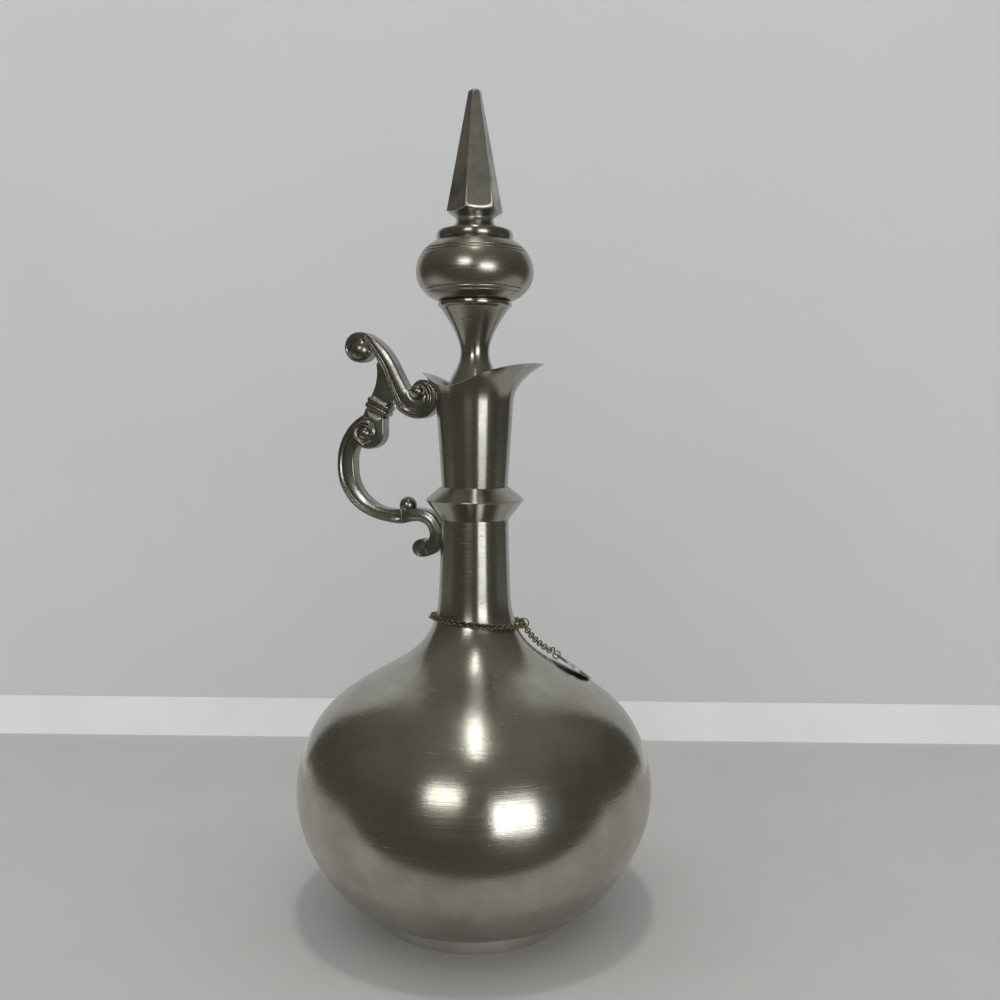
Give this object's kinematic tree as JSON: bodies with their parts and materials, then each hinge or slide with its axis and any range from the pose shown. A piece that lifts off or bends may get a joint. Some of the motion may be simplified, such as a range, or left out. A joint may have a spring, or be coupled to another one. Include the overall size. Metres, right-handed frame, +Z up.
{
  "type": "pewter decanter",
  "caption": "Pewter decanter with a round body, flared pouring mouth, scrolled one-finger handle, lift-out cork stopper with a hexagonal spire, and a name tag on a neck chain.",
  "frame": {"origin": "centre of the foot ring's underside, on the body's axis", "axes": "+Z up along the body's axis, +X towards the pouring spout, the handle on the -X side, +Y to the left of someone who pours"},
  "size_m": [0.1402, 0.1402, 0.32],
  "materials": {
    "pewter": "satin spun pewter, darkened with age",
    "chain_brass": "dulled",
    "stud_steel": "plain",
    "cork": "cork, open pores"
  },
  "bodies": {
    "vessel": {"foot_ring": "pewter", "lower_bowl": "pewter", "shoulder_shell": "pewter", "neck_tube": "pewter", "neck_collar": "pewter", "mouth_spout": "pewter", "upper_scroll": "pewter", "handle_bracket": "pewter", "handle_ferrule": "pewter", "grip_scroll": "pewter", "lower_scroll": "pewter", "thumb_ball": "pewter", "joint_ball": "pewter", "tail_ball": "pewter"},
    "cork_seat": {"cork": "cork"},
    "stopper": {"stopper_stem": "pewter", "knob_lower": "pewter", "knob_upper": "pewter", "knob_cap": "pewter", "spire": "pewter", "stopper_stud": "stud_steel", "cork_washer": "stud_steel", "stud_nut": "stud_steel"},
    "chain": {"neck_chain": "chain_brass", "closing_ring": "chain_brass", "chain_tail": "chain_brass", "wire_hook": "chain_brass"},
    "name_tag": {"tag_ring": "chain_brass", "tag": "pewter"}
  },
  "joints": [
    {"name": "stopper_lift", "type": "slide", "parent": "vessel", "child": "cork_seat", "axis": [0, 0, 1], "range_m": [0, 0.065]},
    {"name": "stopper_turn", "type": "hinge", "parent": "cork_seat", "child": "stopper", "pos_m": [0, 0, 0.2], "axis": [0, 0, 1], "continuous": true},
    {"name": "chain_turn", "type": "hinge", "parent": "vessel", "child": "chain", "pos_m": [0, 0, 0.115], "axis": [0, 0, 1], "continuous": true},
    {"name": "tag_swing", "type": "hinge", "parent": "chain", "child": "name_tag", "pos_m": [0.02818, 0.01727, 0.10104], "axis": [0.5225, -0.8526, 0], "range_deg": [0, 55]}
  ]
}
